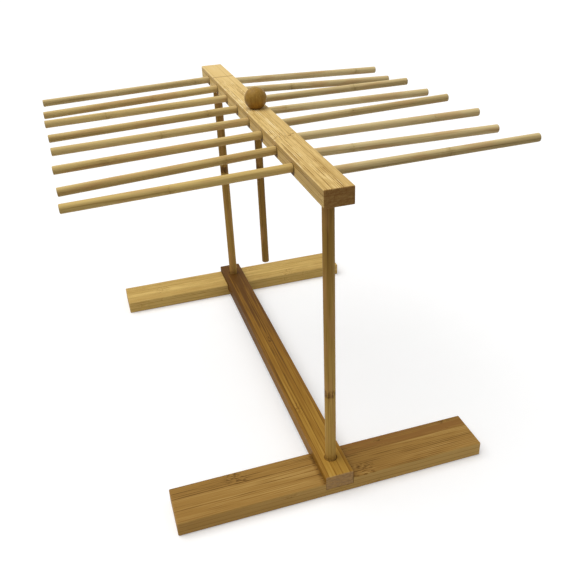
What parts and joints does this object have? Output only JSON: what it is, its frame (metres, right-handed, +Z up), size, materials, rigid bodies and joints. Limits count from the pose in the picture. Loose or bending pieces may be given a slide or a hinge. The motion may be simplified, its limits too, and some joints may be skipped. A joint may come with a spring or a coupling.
{
  "type": "pasta drying rack",
  "caption": "Free-standing bamboo pasta drying rack: a beam on two posts carries rows of pull-out arms on both sides and a ball-topped wand, over a rail and two feet.",
  "frame": {"origin": "on the table, at the centre of the footprint", "axes": "+Z up, +X out along the right-hand row of arms, +Y along the beam from front to back"},
  "size_m": [0.483, 0.52, 0.3844],
  "materials": {
    "foot_bamboo": "fine-sanded and oiled, satin",
    "rail_bamboo": "fine-sanded and oiled, satin",
    "post_bamboo": "fine-sanded and oiled, satin",
    "beam_bamboo": "fine-sanded and oiled, satin",
    "arm_bamboo": "fine-sanded and oiled, satin",
    "wand_bamboo": "fine-sanded and oiled, satin",
    "knob_wood": "fine-sanded and oiled, satin"
  },
  "bodies": {
    "feet": {"front_foot": "foot_bamboo", "rear_foot": "foot_bamboo"},
    "rail": {"base_rail": "rail_bamboo"},
    "posts": {"front_post": "post_bamboo", "rear_post": "post_bamboo"},
    "beam": {"top_beam": "beam_bamboo"},
    "wand": {"wand_rod": "wand_bamboo", "wand_knob": "knob_wood"},
    "left_arm_1": {"left_arm_1": "arm_bamboo"},
    "left_arm_2": {"left_arm_2": "arm_bamboo"},
    "left_arm_3": {"left_arm_3": "arm_bamboo"},
    "left_arm_4": {"left_arm_4": "arm_bamboo"},
    "left_arm_5": {"left_arm_5": "arm_bamboo"},
    "left_arm_6": {"left_arm_6": "arm_bamboo"},
    "left_arm_7": {"left_arm_7": "arm_bamboo"},
    "left_arm_8": {"left_arm_8": "arm_bamboo"},
    "right_arm_1": {"right_arm_1": "arm_bamboo"},
    "right_arm_2": {"right_arm_2": "arm_bamboo"},
    "right_arm_3": {"right_arm_3": "arm_bamboo"},
    "right_arm_4": {"right_arm_4": "arm_bamboo"},
    "right_arm_5": {"right_arm_5": "arm_bamboo"},
    "right_arm_6": {"right_arm_6": "arm_bamboo"},
    "right_arm_7": {"right_arm_7": "arm_bamboo"},
    "right_arm_8": {"right_arm_8": "arm_bamboo"}
  },
  "joints": [
    {"name": "rail_lift", "type": "slide", "parent": "feet", "child": "rail", "axis": [0, 0, 1], "range_m": [0, 0.015]},
    {"name": "posts_lift", "type": "slide", "parent": "rail", "child": "posts", "axis": [0, 0, 1], "range_m": [0, 0.029]},
    {"name": "beam_lift", "type": "slide", "parent": "posts", "child": "beam", "axis": [0, 0, 1], "range_m": [0, 0.0185]},
    {"name": "wand_lift", "type": "slide", "parent": "beam", "child": "wand", "axis": [0, 0, 1], "range_m": [0, 0.208]},
    {"name": "left_arm_1_pull", "type": "slide", "parent": "beam", "child": "left_arm_1", "axis": [-0.9995, 0, -0.0305], "range_m": [-0.015, 0.013]},
    {"name": "left_arm_2_pull", "type": "slide", "parent": "beam", "child": "left_arm_2", "axis": [-0.9992, 0, -0.0397], "range_m": [-0.015, 0.013]},
    {"name": "left_arm_3_pull", "type": "slide", "parent": "beam", "child": "left_arm_3", "axis": [-0.9997, 0, -0.0244], "range_m": [-0.0135, 0.0145]},
    {"name": "left_arm_4_pull", "type": "slide", "parent": "beam", "child": "left_arm_4", "axis": [-0.9994, 0, -0.0336], "range_m": [-0.0105, 0.0175]},
    {"name": "left_arm_5_pull", "type": "slide", "parent": "beam", "child": "left_arm_5", "axis": [-0.9996, 0, -0.0275], "range_m": [-0.00825, 0.01975]},
    {"name": "left_arm_6_pull", "type": "slide", "parent": "beam", "child": "left_arm_6", "axis": [-0.9993, 0, -0.0366], "range_m": [-0.00825, 0.01975]},
    {"name": "left_arm_7_pull", "type": "slide", "parent": "beam", "child": "left_arm_7", "axis": [-0.9987, 0, -0.0519], "range_m": [-0.006, 0.022]},
    {"name": "left_arm_8_pull", "type": "slide", "parent": "beam", "child": "left_arm_8", "axis": [-0.9995, 0, -0.0305], "range_m": [-0.0045, 0.0235]},
    {"name": "right_arm_1_pull", "type": "slide", "parent": "beam", "child": "right_arm_1", "axis": [0.9995, 0, -0.0305], "range_m": [-0.00375, 0.02425]},
    {"name": "right_arm_2_pull", "type": "slide", "parent": "beam", "child": "right_arm_2", "axis": [0.9993, 0, -0.0366], "range_m": [0, 0.028]},
    {"name": "right_arm_3_pull", "type": "slide", "parent": "beam", "child": "right_arm_3", "axis": [1, 0, 0.0031], "range_m": [-0.0015, 0.0265]},
    {"name": "right_arm_4_pull", "type": "slide", "parent": "beam", "child": "right_arm_4", "axis": [1, 0, -0.0061], "range_m": [-0.00375, 0.02425]},
    {"name": "right_arm_5_pull", "type": "slide", "parent": "beam", "child": "right_arm_5", "axis": [0.9997, 0, 0.0244], "range_m": [-0.0015, 0.0265]},
    {"name": "right_arm_6_pull", "type": "slide", "parent": "beam", "child": "right_arm_6", "axis": [1, 0, 0.0031], "range_m": [-0.01125, 0.01675]},
    {"name": "right_arm_7_pull", "type": "slide", "parent": "beam", "child": "right_arm_7", "axis": [1, 0, -0.0092], "range_m": [-0.00225, 0.02575]},
    {"name": "right_arm_8_pull", "type": "slide", "parent": "beam", "child": "right_arm_8", "axis": [0.9999, 0, 0.0122], "range_m": [-0.015, 0.013]}
  ]
}
